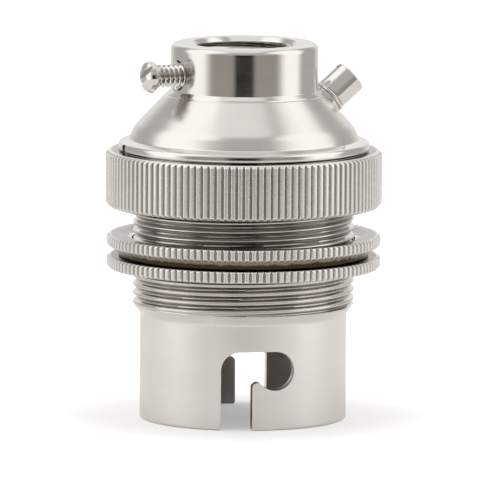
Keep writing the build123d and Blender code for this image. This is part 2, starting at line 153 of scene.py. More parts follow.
def divided(points, radius, low, high, step):
    """The same outline with points at most a step apart where it runs along a wall at that radius."""
    result = []
    for (x, y), (next_x, next_y) in zip(points, points[1:] + points[:1]):
        result.append((x, y))
        if max(abs(x - radius), abs(next_x - radius)) >= wall_tolerance:
            continue
        way = 1 if next_y > y else -1
        near, far = (max(low, min(y, next_y)), min(high, max(y, next_y)))
        count = int((far - near) / step)
        levels = [near + (far - near) * (k + 0.5) / count for k in range(count)]
        result.extend((radius, level) for level in levels[::way])
    return result


# %% Make a mesh object
def new_piece(name, vertices, faces):
    """Object with a mesh of these points, in metres, and faces."""
    mesh = bpy.data.meshes.new(name)
    mesh.from_pydata(vertices, [], faces)
    piece = bpy.data.objects.new(name, mesh)
    bpy.context.scene.collection.objects.link(piece)
    return piece


def box(name, spans, place):
    """Closed block between two values in mm on each axis, moved by a matrix."""
    corners = [place @ (Vector(corner) * mm) for corner in product(*spans)]
    faces = [(0, 1, 3, 2), (4, 6, 7, 5), (0, 4, 5, 1), (2, 3, 7, 6), (0, 2, 6, 4), (1, 5, 7, 3)]
    return new_piece(name, corners, faces)


# %% Spin an outline round Z
def spun(name, points, segments=288):
    """Mesh object spun from outline points in mm; points with no radius become poles."""
    vertices = []
    rings = []
    for radius, height in points:
        if radius < 1e-6:
            rings.append([len(vertices)])
            vertices.append((0, 0, height * mm))
            continue
        rings.append(list(range(len(vertices), len(vertices) + segments)))
        for k in range(segments):
            angle = 2 * pi * k / segments
            vertices.append((radius * cos(angle) * mm, radius * sin(angle) * mm, height * mm))
    faces = []
    closed = rings[0] != [0] or len(rings[-1]) > 1
    last = len(rings) if closed else len(rings) - 1
    for index in range(last):
        lower, upper = rings[index], rings[(index + 1) % len(rings)]
        for k in range(segments):
            following = (k + 1) % segments
            if len(lower) == 1 and len(upper) == 1:
                break
            if len(lower) == 1:
                faces.append((lower[0], upper[following], upper[k]))
            elif len(upper) == 1:
                faces.append((lower[k], lower[following], upper[0]))
            else:
                faces.append((lower[k], lower[following], upper[following], upper[k]))
    return new_piece(name, vertices, faces)


# %% Turn the result of a modifier into a plain mesh
def baked(piece):
    """Replace a piece's mesh by what its modifiers make of it, and remove the modifiers."""
    bpy.context.view_layer.update()
    evaluated = piece.evaluated_get(bpy.context.evaluated_depsgraph_get())
    mesh = bpy.data.meshes.new_from_object(evaluated)
    piece.modifiers.clear()
    piece.data = mesh
    return piece


def cut(piece, cutters):
    """Take closed cutters out of a closed piece."""
    for cutter in cutters:
        modifier = piece.modifiers.new("cut", "BOOLEAN")
        modifier.operation = "DIFFERENCE"
        modifier.solver = "EXACT"
        modifier.object = cutter
    baked(piece)
    for cutter in cutters:
        bpy.data.objects.remove(cutter)
    return piece


def settled(piece, body, nodes, edge=38):
    """Smooth a finished piece, hand it to its body and hide the solids it stands for."""
    piece.data.shade_smooth()
    piece.data.set_sharp_from_angle(angle=radians(edge))
    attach(piece, body)
    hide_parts(*nodes)
    print(piece.name, "faces", len(piece.data.polygons))


# %% [markdown]
# ## Geometry Nodes trees
# A thread and a knurl both follow a rule: how far a point of the wall moves inwards depends only on
# its angle and its height. Modelling 122 teeth by hand would be slow, and a texture wouldn't change
# the outline. A Geometry Nodes tree moves the points by the rule and also stores a share for each
# point, so that the metal can be darker in the grooves, partly as tarnish and partly as painted shade.
# A thread's share is stored a fifth of a pitch higher than its root, under the crest above, as painted
# shade on the flank that the crest above shadows.

# %% Helpers for trees
def new_tree(name, kind, inputs, outputs):
    """Node tree whose inputs have a socket type or a starting number, with its two end nodes."""
    tree = bpy.data.node_groups.new(name, kind)
    for label, value in inputs.items():
        socket_type = "NodeSocketFloat" if isinstance(value, float) else value
        socket = tree.interface.new_socket(label, in_out="INPUT", socket_type=socket_type)
        if isinstance(value, float):
            socket.default_value = value
    for label, socket_type in outputs.items():
        tree.interface.new_socket(label, in_out="OUTPUT", socket_type=socket_type)
    return tree, tree.nodes.new("NodeGroupInput"), tree.nodes.new("NodeGroupOutput")


def shape_tree(name, sizes):
    """Geometry tree with named sizes, from a mesh and a material to a mesh."""
    inputs = {"Geometry": "NodeSocketGeometry", **sizes, "Material": "NodeSocketMaterial"}
    return new_tree(name, "GeometryNodeTree", inputs, {"Geometry": "NodeSocketGeometry"})


def effect_group(name, settings, outputs):
    """Shader group with named settings that gives numbers."""
    return new_tree(name, "ShaderNodeTree", settings, dict.fromkeys(outputs, "NodeSocketFloat"))


def feed(tree, socket, value):
    """Link another node's output to an input, or set the input to a plain value."""
    if isinstance(value, bpy.types.NodeSocket):
        tree.links.new(value, socket)
    else:
        socket.default_value = value


def add(tree, kind, settings=(), **inputs):
    """Add a node, apply its settings, and set or link its inputs by number (i0, i1, ...)."""
    node = tree.nodes.new(kind)
    for key, value in dict(settings).items():
        setattr(node, key, value)
    for key, value in inputs.items():
        feed(tree, node.inputs[int(key[1:])], value)
    return node


def reckon(tree, operation, first, second=0.0, third=0.0):
    """Output of a Math node."""
    node = add(tree, "ShaderNodeMath", {"operation": operation}, i0=first, i1=second, i2=third)
    return node.outputs[0]


def times(tree, first, second):
    """Product of two values."""
    return reckon(tree, "MULTIPLY", first, second)


def plus(tree, first, second):
    """Sum of two values."""
    return reckon(tree, "ADD", first, second)


def minus(tree, first, second):
    """Difference of two values."""
    return reckon(tree, "SUBTRACT", first, second)


def eased(tree, value, low, high, start=0.0, end=1.0):
    """Smooth step of a value from low to high."""
    node = add(tree, "ShaderNodeMapRange", {"interpolation_type": "SMOOTHSTEP"})
    for socket, given in zip(node.inputs, (value, low, high, start, end)):
        feed(tree, socket, given)
    return node.outputs[0]


def patch(tree, *edges):
    """Share of an area with soft edges; an edge is a value, where it gives 0 and where it gives 1."""
    share = None
    for value, nothing, full in edges:
        if nothing < full:
            edge = eased(tree, value, nothing, full)
        else:
            edge = eased(tree, value, full, nothing, 1.0, 0.0)
        share = times(tree, share, edge) if share else edge
    return share


def noise(tree, place, scale, detail=2.0):
    """Noise value at a place."""
    node = add(tree, "ShaderNodeTexNoise", i0=place)
    feed(tree, node.inputs["Scale"], scale)
    feed(tree, node.inputs["Detail"], detail)
    return node.outputs[0]


def around_z(tree, position):
    """Radius, angle, x, y and z of a position."""
    parts = add(tree, "ShaderNodeSeparateXYZ", i0=position)
    x, y, z = parts.outputs
    squares = plus(tree, times(tree, x, x), times(tree, y, y))
    return reckon(tree, "SQRT", squares), reckon(tree, "ARCTAN2", y, x), x, y, z


def object_place(tree):
    """Position of the shaded point in its object's own frame."""
    return tree.nodes.new("ShaderNodeTexCoord").outputs["Object"]


def point(tree, x, y, z):
    """Vector from three values."""
    return add(tree, "ShaderNodeCombineXYZ", i0=x, i1=y, i2=z).outputs[0]


def painted(tree, source, sink, geometry):
    """End of a shape tree: real geometry with the tree's material."""
    real = add(tree, "GeometryNodeRealizeInstances", i0=geometry)
    coated = add(tree, "GeometryNodeSetMaterial", i0=real.outputs[0])
    tree.links.new(source.outputs["Material"], coated.inputs["Material"])
    tree.links.new(coated.outputs[0], sink.inputs[0])


def move_in(tree, source, sink, radius, x, y, z, new_radius, chosen, depth_share):
    """End of both trees: store each point's share of groove darkening (tarnish and painted shade), move
    it in, set the material.
    """
    scale = reckon(tree, "DIVIDE", new_radius, radius)
    place = point(tree, times(tree, x, scale), times(tree, y, scale), z)
    stored = add(
        tree,
        "GeometryNodeStoreNamedAttribute",
        {"data_type": "FLOAT", "domain": "POINT"},
        i0=source.outputs[0],
        i1=chosen,
        i2="groove",
    )
    tree.links.new(depth_share, stored.inputs["Value"])
    moved = add(tree, "GeometryNodeSetPosition", i0=stored.outputs[0], i1=chosen, i2=place)
    painted(tree, source, sink, moved.outputs[0])


def shaped(piece, tree, material, lengths, **numbers):
    """Run a tree on a piece with lengths in mm and plain numbers by name, and keep the mesh."""
    values = {key: length * mm for key, length in lengths.items()} | numbers
    modifier = piece.modifiers.new(tree.name, "NODES")
    modifier.node_group = tree
    for item in tree.interface.items_tree:
        key = item.name.lower().replace(" ", "_")
        if item.in_out == "INPUT" and key in values:
            modifier[item.identifier] = float(values[key])
        if item.in_out == "INPUT" and item.name == "Material":
            modifier[item.identifier] = material
    return baked(piece)


# %% The thread tree
stain_rise = 0.2
stain_sharpness = 1.3


def make_thread_tree():
    """Helical rounded thread cut into a wall of a given radius between two heights."""
    sizes = {
        "Wall radius": 0.01,
        "Depth": 0.0004,
        "Pitch": 0.001,
        "Low": 0.0,
        "High": 0.01,
        "Runout": 0.0005,
        "Start": 0.0,
        "Sharpness": 1.0,
    }
    tree, source, sink = shape_tree("helical_thread", sizes)
    given = source.outputs
    position = tree.nodes.new("GeometryNodeInputPosition").outputs[0]
    radius, angle, x, y, z = around_z(tree, position)
    climbed = reckon(tree, "DIVIDE", minus(tree, z, given["Start"]), given["Pitch"])
    turns = minus(tree, climbed, reckon(tree, "DIVIDE", angle, 2 * pi))
    wave = reckon(tree, "COSINE", times(tree, turns, 2 * pi))
    valley = reckon(tree, "MULTIPLY_ADD", wave, 0.5, 0.5)
    valley = reckon(tree, "POWER", valley, given["Sharpness"])
    rise = eased(tree, z, given["Low"], plus(tree, given["Low"], given["Runout"]))
    fall_start = minus(tree, given["High"], given["Runout"])
    fall = eased(tree, z, fall_start, given["High"], 1.0, 0.0)
    faded = times(tree, rise, fall)
    share = times(tree, valley, faded)
    # Painted shade: the stored share peaks a fifth of a pitch above the root, on the flank under the
    # crest.
    under = reckon(tree, "COSINE", times(tree, minus(tree, turns, stain_rise), 2 * pi))
    under = reckon(tree, "POWER", reckon(tree, "MULTIPLY_ADD", under, 0.5, 0.5), stain_sharpness)
    stain_share = times(tree, under, faded)
    new_radius = minus(tree, radius, times(tree, share, given["Depth"]))
    off_wall = reckon(tree, "ABSOLUTE", minus(tree, radius, given["Wall radius"]))
    chosen = reckon(tree, "LESS_THAN", off_wall, wall_tolerance * mm)
    move_in(tree, source, sink, radius, x, y, z, new_radius, chosen, stain_share)
    return tree


thread_tree = make_thread_tree()
print("thread inputs", [item.name for item in thread_tree.interface.items_tree])


# %% The knurl tree
def make_knurl_tree():
    """Straight knurl: even teeth round a wall, as deep as the rim's chamfers allow."""
    sizes = {
        "Wall radius": 0.01,
        "Depth": 0.0003,
        "Teeth": 100.0,
        "Crest share": 0.5,
        "Root share": 0.15,
    }
    tree, source, sink = shape_tree("straight_knurl", sizes)
    given = source.outputs
    position = tree.nodes.new("GeometryNodeInputPosition").outputs[0]
    radius, angle, x, y, z = around_z(tree, position)
    passed = times(tree, angle, reckon(tree, "DIVIDE", given["Teeth"], 2 * pi))
    within = reckon(tree, "FRACT", passed)
    from_groove = reckon(tree, "ABSOLUTE", minus(tree, within, 0.5))
    from_groove = times(tree, from_groove, 2.0)
    crest_side = minus(tree, 1.0, given["Crest share"])
    share = eased(tree, from_groove, given["Root share"], crest_side, 1.0, 0.0)
    limit = minus(tree, given["Wall radius"], times(tree, share, given["Depth"]))
    new_radius = reckon(tree, "MINIMUM", radius, limit)
    root = minus(tree, given["Wall radius"], given["Depth"])
    chosen = reckon(tree, "GREATER_THAN", radius, minus(tree, root, 0.001 * mm))
    move_in(tree, source, sink, radius, x, y, z, new_radius, chosen, share)
    return tree


knurl_tree = make_knurl_tree()
print("knurl inputs", [item.name for item in knurl_tree.interface.items_tree])

# %% [markdown]
# ## Finishes
# The metal is brass with a satin nickel plate. On the lathe the tool leaves fine lines that run round
# the piece; plating softens them but they still stretch the highlights. Nickel also darkens and
# browns a little where polish can't reach, and the grooves are darkened further as painted shade;
# the plate is brightest on edges that hands and tools touch.
# Each of these effects is a small shader group, so that every finish can use it at its own strength.
# Two effects belong to certain places and stay in the material. One gives a band of heights its own
# shine: the dome is duller than the boss, and the neck is smoother than the skirt, a little browner
# and nearly black under the crests of its thread, which is tarnish with painted shade from the union
# ring and the crests. The other makes the hub of the upper shade ring browner and paints ragged,
# nearly black shade into the corner between the rings and into the dish on top.

# %% Group: lines left by the lathe
band_fineness = 0.12


def make_lathe_lines():
    """Fine lines round Z: a value that changes quickly along the axis and slowly round it."""
    settings = {"Fineness": 9000.0, "Waver": 1.5}
    tree, source, sink = effect_group("lathe_lines", settings, ["Lines", "Bands"])
    place = object_place(tree)
    radius, angle, x, y, z = around_z(tree, place)
    around = times(tree, reckon(tree, "SINE", angle), source.outputs["Waver"])
    across = times(tree, plus(tree, z, radius), source.outputs["Fineness"])
    turned = times(tree, reckon(tree, "COSINE", angle), source.outputs["Waver"])
    coarse = times(tree, across, band_fineness)
    lines = noise(tree, point(tree, around, turned, across), 1.0)
    bands = noise(tree, point(tree, around, turned, coarse), 1.0, 3.0)
    tree.links.new(lines, sink.inputs["Lines"])
    tree.links.new(bands, sink.inputs["Bands"])
    return tree


lathe_lines = make_lathe_lines()


# %% Group: edge wear
def make_edge_wear():
    """Mask of edges that stick out, broken up by noise so that the wear isn't even."""
    settings = {"Width": 0.06, "Breakup": 0.5, "Scale": 900.0}
    tree, source, sink = effect_group("edge_wear", settings, ["Mask"])
    bend = tree.nodes.new("ShaderNodeNewGeometry").outputs["Pointiness"]
    edge = eased(tree, bend, 0.5, plus(tree, 0.5, source.outputs["Width"]))
    spread = noise(tree, object_place(tree), source.outputs["Scale"])
    broken = eased(tree, spread, 0.35, 0.65)
    kept = minus(tree, 1.0, times(tree, broken, source.outputs["Breakup"]))
    tree.links.new(times(tree, edge, kept), sink.inputs["Mask"])
    return tree


edge_wear = make_edge_wear()


# %% Group: stain and handling marks
def make_handling():
    """Soft clouds and small specks: where fingers and dust changed the shine a little."""
    settings = {"Cloud scale": 120.0, "Speck scale": 2600.0}
    tree, source, sink = effect_group("handling_marks", settings, ["Clouds", "Specks"])
    place = object_place(tree)
    clouds = noise(tree, place, source.outputs["Cloud scale"], 4.0)
    specks = noise(tree, place, source.outputs["Speck scale"], 1.0)
    tree.links.new(eased(tree, clouds, 0.3, 0.7), sink.inputs["Clouds"])
    tree.links.new(eased(tree, specks, 0.56, 0.72), sink.inputs["Specks"])
    return tree


handling_marks = make_handling()
print("shader groups", [group.name for group in (lathe_lines, edge_wear, handling_marks)])


# %% Build a plated metal from the groups
worn_gain, worn_share = 1.05, 0.6
least_roughness = 0.06
zone_edge = 0.3
groove_shade_range, groove_shade_strength = (0.45, 0.95), 3.6
groove_shade_black = (0.035, 0.026, 0.018)
lines_worn = 0.8
rim_edge, rim_roughness = 0.2, 0.10
# Painted shade on the shade rings: a ragged near-black band in the corner between the rings and on the
# dish on top.
shade_edge_scale, shade_ragged = 900.0, 0.6
painted_shade_black, dish_shade = (0.05, 0.037, 0.025), 0.7
hub_brown, hub_brown_share = (0.20, 0.155, 0.11), 0.92
rim_heights = {
    "foot of the sooted corner": (20.35, 20.45),
    "top of the sooted corner": (21.66, 21.36),
    "dish on top": (23.0, 23.2),
    "top of the brown hub": (21.7, 21.75),
    "foot of the brown hub": (20.6, 20.7),
}


def group_node(tree, group, **values):
    """Place a shader group in a material with its own values."""
    node = tree.nodes.new("ShaderNodeGroup")
    node.node_tree = group
    for key, value in values.items():
        node.inputs[key.replace("_", " ").capitalize()].default_value = value
    return node


def mixed(tree, share, first, second):
    """Colour between two colours."""
    node = add(tree, "ShaderNodeMix", {"data_type": "RGBA"}, i0=share)
    for socket, colour in ((node.inputs[6], first), (node.inputs[7], second)):
        feed(tree, socket, (*colour, 1.0) if isinstance(colour, tuple) else colour)
    return node.outputs[2]


def new_material(name):
    """Material with nodes, and its tree."""
    material = bpy.data.materials.new(name)
    material.use_nodes = True
    return material, material.node_tree


def dress(tree, colour, rough, height, distance):
    """Give the Principled shader its colour, its roughness and a bump as deep as a distance in mm."""
    bump = add(tree, "ShaderNodeBump")
    bump.inputs["Strength"].default_value = 1.0
    bump.inputs["Distance"].default_value = distance * mm
    tree.links.new(height, bump.inputs["Height"])
    for label, value in (("Base Color", colour), ("Roughness", rough), ("Normal", bump.outputs[0])):
        tree.links.new(value, tree.nodes["Principled BSDF"].inputs[label])


def zoned(look, low, high, roughness, tarnish_and_shade):
    """Between two heights in mm: another roughness, tarnish with painted shade, and painted shade that
    is nearly black in grooves.
    """
    tree = look.tree
    z = around_z(tree, object_place(tree))[4]
    bottom = (z, low * mm, (low + zone_edge) * mm)
    top = (z, high * mm, (high - zone_edge) * mm)
    inside = patch(tree, bottom, top)
    look.rough = reckon(tree, "MULTIPLY_ADD", inside, roughness - look.roughness, look.rough)
    # Painted shade: the neck under the union ring is mixed towards the stain colour, partly as tarnish,
    # and its thread roots go nearly black.
    look.plate = mixed(tree, times(tree, inside, tarnish_and_shade), look.plate, look.stain)
    grooved = times(tree, look.depth, inside)
    root = eased(tree, grooved, *groove_shade_range, 0.0, groove_shade_strength * tarnish_and_shade)
    look.plate = mixed(tree, root, look.plate, groove_shade_black)
    look.lines = times(tree, look.lines, reckon(tree, "MULTIPLY_ADD", inside, -lines_worn, 1.0))


def shaded_rim(look, radius_limit):
    """Inside a radius in mm: less rough, brown on the hub, and painted shade near black in the corner
    and in the dish.
    """
    tree = look.tree
    place = object_place(tree)
    radius, angle, x, y, z = around_z(tree, place)
    inner = eased(tree, radius, (radius_limit - rim_edge) * mm, radius_limit * mm, 1.0, 0.0)
    look.rough = reckon(tree, "MULTIPLY_ADD", inner, rim_roughness - look.roughness, look.rough)
    ragged = reckon(tree, "MULTIPLY_ADD", noise(tree, place, shade_edge_scale), shade_ragged * mm, z)
    corner_foot, corner_top, dish_span, hub_top, hub_foot_span = [
        [height * mm for height in span] for span in rim_heights.values()
    ]
    # Painted shade: the corner between the rings and the dish on top are turned near black, with a
    # ragged edge.
    corner = patch(tree, (ragged, *corner_foot), (ragged, *corner_top))
    dish = eased(tree, ragged, *dish_span, 0.0, dish_shade)
    darkened = times(tree, inner, reckon(tree, "MAXIMUM", corner, dish))
    hub = eased(tree, z, *hub_top, hub_brown_share, 0.0)
    hub = times(tree, inner, times(tree, hub, eased(tree, ragged, *hub_foot_span)))
    look.plate = mixed(tree, hub, look.plate, hub_brown)
    look.plate = mixed(tree, darkened, look.plate, painted_shade_black)


def make_metal(name, bright, dull, stain, roughness, line_depth, groove_shade=0.0, zone=(), rim=()):
    """Metal with lathe lines, clouds, edge wear and grooves darkened by tarnish and painted shade.

    A zone is (low, high, roughness, tarnish and painted shade) and a rim is (radius,), in mm.
    """
    material, tree = new_material(name)
    tree.nodes["Principled BSDF"].inputs["Metallic"].default_value = 1.0
    turned = group_node(tree, lathe_lines)
    marks = group_node(tree, handling_marks)
    wear = group_node(tree, edge_wear).outputs["Mask"]
    clouded = times(tree, marks.outputs["Clouds"], 0.5)
    banded = reckon(tree, "MULTIPLY_ADD", turned.outputs["Bands"], 0.5, clouded)
    depth = add(tree, "ShaderNodeAttribute", {"attribute_name": "groove"}).outputs["Fac"]
    plate = mixed(tree, banded, bright, dull)
    # Grooves are mixed towards the stain colour: partly tarnish, partly painted shade.
    plate = mixed(tree, times(tree, depth, groove_shade), plate, stain)
    worn = tuple(min(1.0, worn_gain * value) for value in bright)
    plate = mixed(tree, times(tree, wear, worn_share), plate, worn)
    lines = turned.outputs["Lines"]
    rough = reckon(tree, "MULTIPLY_ADD", lines, 0.06, roughness - 0.04)
    rough = reckon(tree, "MULTIPLY_ADD", marks.outputs["Clouds"], 0.03, rough)
    look = SimpleNamespace(
        tree=tree, plate=plate, rough=rough, lines=lines, depth=depth, stain=stain, roughness=roughness
    )
    if zone:
        zoned(look, *zone)
    if rim:
        shaded_rim(look, *rim)
    rough = reckon(tree, "MULTIPLY_ADD", wear, -0.06, look.rough)
    rough = reckon(tree, "MAXIMUM", rough, least_roughness)
    dress(tree, look.plate, rough, look.lines, line_depth)
    return material


nickel = {"bright": (0.83, 0.81, 0.785), "dull": (0.75, 0.73, 0.70), "stain": (0.20, 0.155, 0.115)}
satin = nickel | {"bright": (0.91, 0.89, 0.865), "dull": (0.84, 0.82, 0.79)}
knurled = nickel | {"bright": (0.87, 0.85, 0.825), "dull": (0.79, 0.77, 0.74)}
brass = {"bright": (0.86, 0.66, 0.36), "dull": (0.70, 0.50, 0.24), "stain": (0.2, 0.11, 0.04)}
steel = {"bright": (0.66, 0.66, 0.67), "dull": (0.5, 0.5, 0.52), "stain": (0.1, 0.1, 0.1)}
# The neck zone's last number sets tarnish and painted shade.
neck_zone, dome_zone = (14.2, 30.0, 0.07, 0.20), (35.35, 40.9, 0.22, 0.0)
satin_nickel = make_metal(
    "satin_nickel", **satin, roughness=0.32, line_depth=0.0006, groove_shade=0.45, zone=neck_zone
)
knurl_nickel = make_metal(
    "knurl_nickel", **knurled, roughness=0.28, line_depth=0.0005, groove_shade=0.75, rim=(16.7,)
)
cap_nickel = make_metal(
    "cap_nickel", **nickel, roughness=0.12, line_depth=0.0003, groove_shade=0.7, zone=dome_zone
)
screw_nickel = make_metal(
    "screw_nickel", **nickel, roughness=0.10, line_depth=0.0002, groove_shade=0.7
)
turned_brass = make_metal(
    "turned_brass", **brass, roughness=0.24, line_depth=0.0006, groove_shade=0.5
)
spring_steel = make_metal("spring_steel", **steel, roughness=0.25, line_depth=0.0005)


# %% Build the black moulding's finish
def make_black_resin():
    """Pressed black resin: nearly matt, with the mould's fine grain and a little pale dust."""
    material, tree = new_material("black_resin")
    marks = group_node(tree, handling_marks, cloud_scale=260.0, speck_scale=5200.0)
    colour = mixed(tree, marks.outputs["Clouds"], (0.016, 0.014, 0.013), (0.030, 0.027, 0.025))
    dust = times(tree, marks.outputs["Specks"], 0.25)
    colour = mixed(tree, dust, colour, (0.16, 0.14, 0.12))
    rough = reckon(tree, "MULTIPLY_ADD", marks.outputs["Clouds"], 0.12, 0.36)
    dress(tree, colour, rough, marks.outputs["Specks"], 0.01)
    return material


black_resin = make_black_resin()
print("materials", [m.name for m in bpy.data.materials])

# %% [markdown]
# ## Barrel
# The barrel is one brass turning: the skirt with its two bayonet slots, the threaded neck and, hidden
# in the union ring, the flange. The slots are milled straight through the wall and their edges are
# broken, which is why a thin bright line runs round them in the photograph. So the cutter isn't a
# plain extrusion: its outline grows near the outer and the inner wall by a quarter circle, and the
# cut leaves rounded edges everywhere, also over the hook.

# %% The bayonet slot's outline
mouth_radius = 11.35
skirt_radius = 12.95
slot_turn = radians(9)
channel_left = -4.64
channel_right = -0.84
slot_top = 9.86
slot_radius = 2.41
pocket_across = 2.08
hook_radius = 0.64
channel_flare = 0.25


def arc(middle, radius, start, end, steps):
    """Points on an arc from one angle to another, ends included."""
    turns = [start + (end - start) * k / steps for k in range(steps + 1)]
    return [(middle[0] + radius * cos(t), middle[1] + radius * sin(t)) for t in turns]


def slot_points():
    """Outline of a slot as (across, height) points in mm: channel, hook and pocket."""
    turn_height = slot_top - slot_radius
    hook_across = channel_right + hook_radius
    reach = slot_radius + hook_radius
    lean = acos((pocket_across - hook_across) / reach)
    hook_middle = (hook_across, turn_height - reach * sin(lean))
    right_flare = (channel_right + channel_flare, channel_flare)
    left_flare = (channel_left - channel_flare, channel_flare)
    points = [(channel_left - channel_flare, -1.0)]
    points += arc(left_flare, channel_flare, -pi / 2, 0, 5)
    points += arc((channel_left + slot_radius, turn_height), slot_radius, pi, pi / 2, 18)
    points += arc((pocket_across, turn_height), slot_radius, pi / 2, lean - pi, 40)
    points += arc(hook_middle, hook_radius, lean, pi, 12)[1:]
    points += arc(right_flare, channel_flare, pi, 3 * pi / 2, 5)
    points += [(channel_right + channel_flare, -1.0)]
    return points


slot_line = slot_points()
print("slot outline", len(slot_line), "points")


# %% The slot's cutter, wider at both walls
edge_break = 0.13
cutter_reach = 3


def grown(points, amount):
    """The outline moved outwards by an amount, along the bisector at each point."""
    result = []
    count = len(points)
    for index, (x, y) in enumerate(points):
        before = Vector(points[index - 1])
        after = Vector(points[(index + 1) % count])
        here = Vector((x, y))
        first = (here - before).normalized()
        second = (after - here).normalized()
        way = first + second
        way = way.normalized() if way.length > 1e-6 else first
        stretch = max(0.5, way.dot(first))
        result.append((x - way.y * amount / stretch, y + way.x * amount / stretch))
    return result


def slot_cutter(number):
    """Closed cutter for one slot, made of layers of the outline at growing radii."""
    outward = Vector((sin(slot_turn), -cos(slot_turn), 0))
    sideways = Vector((cos(slot_turn), sin(slot_turn), 0))
    layers = [(None, mouth_radius - cutter_reach, edge_break)]
    bends = [radians(turn) for turn in (90, 60, 30, 0)]
    steps = [(edge_break * (1 - sin(bend)), edge_break * (1 - cos(bend))) for bend in bends]
    layers += [(mouth_radius + depth, 0, growth) for depth, growth in steps]
    layers += [(skirt_radius - depth, 0, growth) for depth, growth in reversed(steps)]
    layers += [(None, skirt_radius + cutter_reach, edge_break)]
    turned_by = Matrix.Rotation(pi * number, 4, "Z")
    vertices, faces = [], []
    for radius, flat, growth in layers:
        for across, height in grown(slot_line, growth):
            out = flat if radius is None else sqrt(radius * radius - across * across)
            place = sideways * across + outward * out + Vector((0, 0, height))
            vertices.append(turned_by @ (place * mm))
    count = len(slot_line)
    faces.append(tuple(range(count)))
    faces.append(tuple(reversed(range(count * (len(layers) - 1), count * len(layers)))))
    for layer in range(len(layers) - 1):
        for k in range(count):
            a = layer * count + k
            b = layer * count + (k + 1) % count
            faces.append((a, a + count, b + count, b))
    return new_piece("slot_cutter", vertices, faces)


# %% Spin, slot and thread the barrel
neck_radius = 13.9
thread_depth = 0.46
thread_pitch = 1.12
thread_low = 14.35
thread_high = 28.2
thread_start = 14.67
rows_per_pitch = 11
flange_foot, barrel_top = 28.6, 30.0
crease_tolerance = 0.004
skirt_step = 0.6
barrel_outline = [
    (mouth_radius, 0, 0.12),
    (skirt_radius, 0, 0.3),
    (skirt_radius, 13.3, 0.6),
    (neck_radius, 14.5, 0.4),
    (neck_radius, flange_foot, 0),
    (15.0, flange_foot, 0.1),
    (15.0, barrel_top, 0.1),
    (12.35, barrel_top, 0.1),
    (12.35, 15.0, 0),
    (11.75, 15.0, 0),
    (11.75, 11.0, 0.1),
    (mouth_radius, 11.0, 0.1),
]


def crease_slots(piece):
    """Mark the edges where a slot's rounding meets a wall, so that the wall's shading stays straight."""
    mesh = piece.data
    walls = {}
    for face in mesh.polygons:
        radii = [hypot(*mesh.vertices[v].co.xy) / mm for v in face.vertices]
        farthest = [max(abs(r - wall) for r in radii) for wall in (skirt_radius, mouth_radius)]
        on_wall = min(farthest) < crease_tolerance
        for key in face.edge_keys:
            walls.setdefault(key, []).append(on_wall)
    for edge in mesh.edges:
        sides = walls.get(edge.key, [])
        if len(sides) == 2 and sides[0] != sides[1]:
            edge.use_edge_sharp = True


def make_barrel():
    """Skirt, neck and flange in one piece, slotted and threaded."""
    step = thread_pitch / rows_per_pitch
    outline = divided(rounded(barrel_outline), neck_radius, thread_low, thread_high, step)
    outline = divided(outline, skirt_radius, 0.4, 12.8, skirt_step)
    outline = divided(outline, mouth_radius, 0.2, 10.8, skirt_step)
    barrel = spun("slotted_barrel", outline, 288)
    cut(barrel, [slot_cutter(0), slot_cutter(1)])
    lengths = {
        "wall_radius": neck_radius,
        "depth": thread_depth,
        "pitch": thread_pitch,
        "low": thread_low,
        "high": thread_high,
        "runout": 0.5,
        "start": thread_start,
    }
    shaped(barrel, thread_tree, satin_nickel, lengths, sharpness=1.15)
    settled(barrel, "barrel_group", ["barrel"])
    crease_slots(barrel)


make_barrel()

# %% [markdown]
# ## Knurled rings
# The union ring and the two shade rings are gripped by hand, so their rims carry a straight knurl of
# 122 teeth. The ring is spun with ten columns of points for each tooth, and the knurl tree presses
# the grooves in. Where the rim's chamfer falls below the bottom of a groove the groove ends by
# itself, which gives the row of small arches that the photograph shows along each edge. A row of
# points just inside each chamfer keeps the shading of the crests flat.

# %% Spin and knurl the three rings
knurl_teeth = 122
columns_per_tooth = 10
knurl_depth = 0.27
face_row, wall_row = 0.06, 0.05


def knurl_rows(low, high, chamfer, radius, count=4):
    """Outline corners of a rim: chamfer, wall and chamfer, with rows where the grooves end."""
    rows = [(radius - chamfer - face_row, low, 0)]
    for k in range(count + 1):
        rows.append((radius - chamfer * (1 - k / count), low + chamfer * k / count, 0))
    rows.append((radius, low + chamfer + wall_row, 0))
    rows.append((radius, high - chamfer - wall_row, 0))
    for k in range(count + 1):
        rows.append((radius - chamfer * k / count, high - chamfer * (1 - k / count), 0))
    rows.append((radius - chamfer - face_row, high, 0))
    return rows


def make_knurled(name, corners, radius, node):
    """Spin a ring's outline, knurl its rim and settle it on the body and solid of one name."""
    ring = spun(name, rounded(corners), knurl_teeth * columns_per_tooth)
    lengths = {"wall_radius": radius, "depth": knurl_depth}
    teeth = {"teeth": knurl_teeth, "crest_share": 0.46, "root_share": 0.10}
    shaped(ring, knurl_tree, knurl_nickel, lengths, **teeth)
    settled(ring, node, [node], edge=50)


union_foot, union_top, union_radius, union_bore = 26.8, 33.8, 17.32, 15.35
union_lip_top, union_lip_bore, union_chamfer = 28.55, 14.15, 0.42
union_corners = [(union_lip_bore, union_foot, 0.15)]
union_corners += knurl_rows(union_foot, union_top, union_chamfer, union_radius)
union_corners += [
    (union_bore, union_top, 0.1),
    (union_bore, union_lip_top, 0),
    (union_lip_bore, union_lip_top, 0),
]
make_knurled("knurled_union_ring", union_corners, union_radius, "union_ring")

shade_radius, shade_bore, rim_height, shade_chamfer = 17.15, 14.0, 1.45, 0.24
lower_foot = 19.05
lower_corners = [(shade_bore, lower_foot, 0.1)]
lower_corners += knurl_rows(lower_foot, lower_foot + rim_height, shade_chamfer, shade_radius)
lower_corners += [(shade_bore, lower_foot + rim_height, 0.1)]
make_knurled("knurled_lower_ring", lower_corners, shade_radius, "lower_shade_ring")

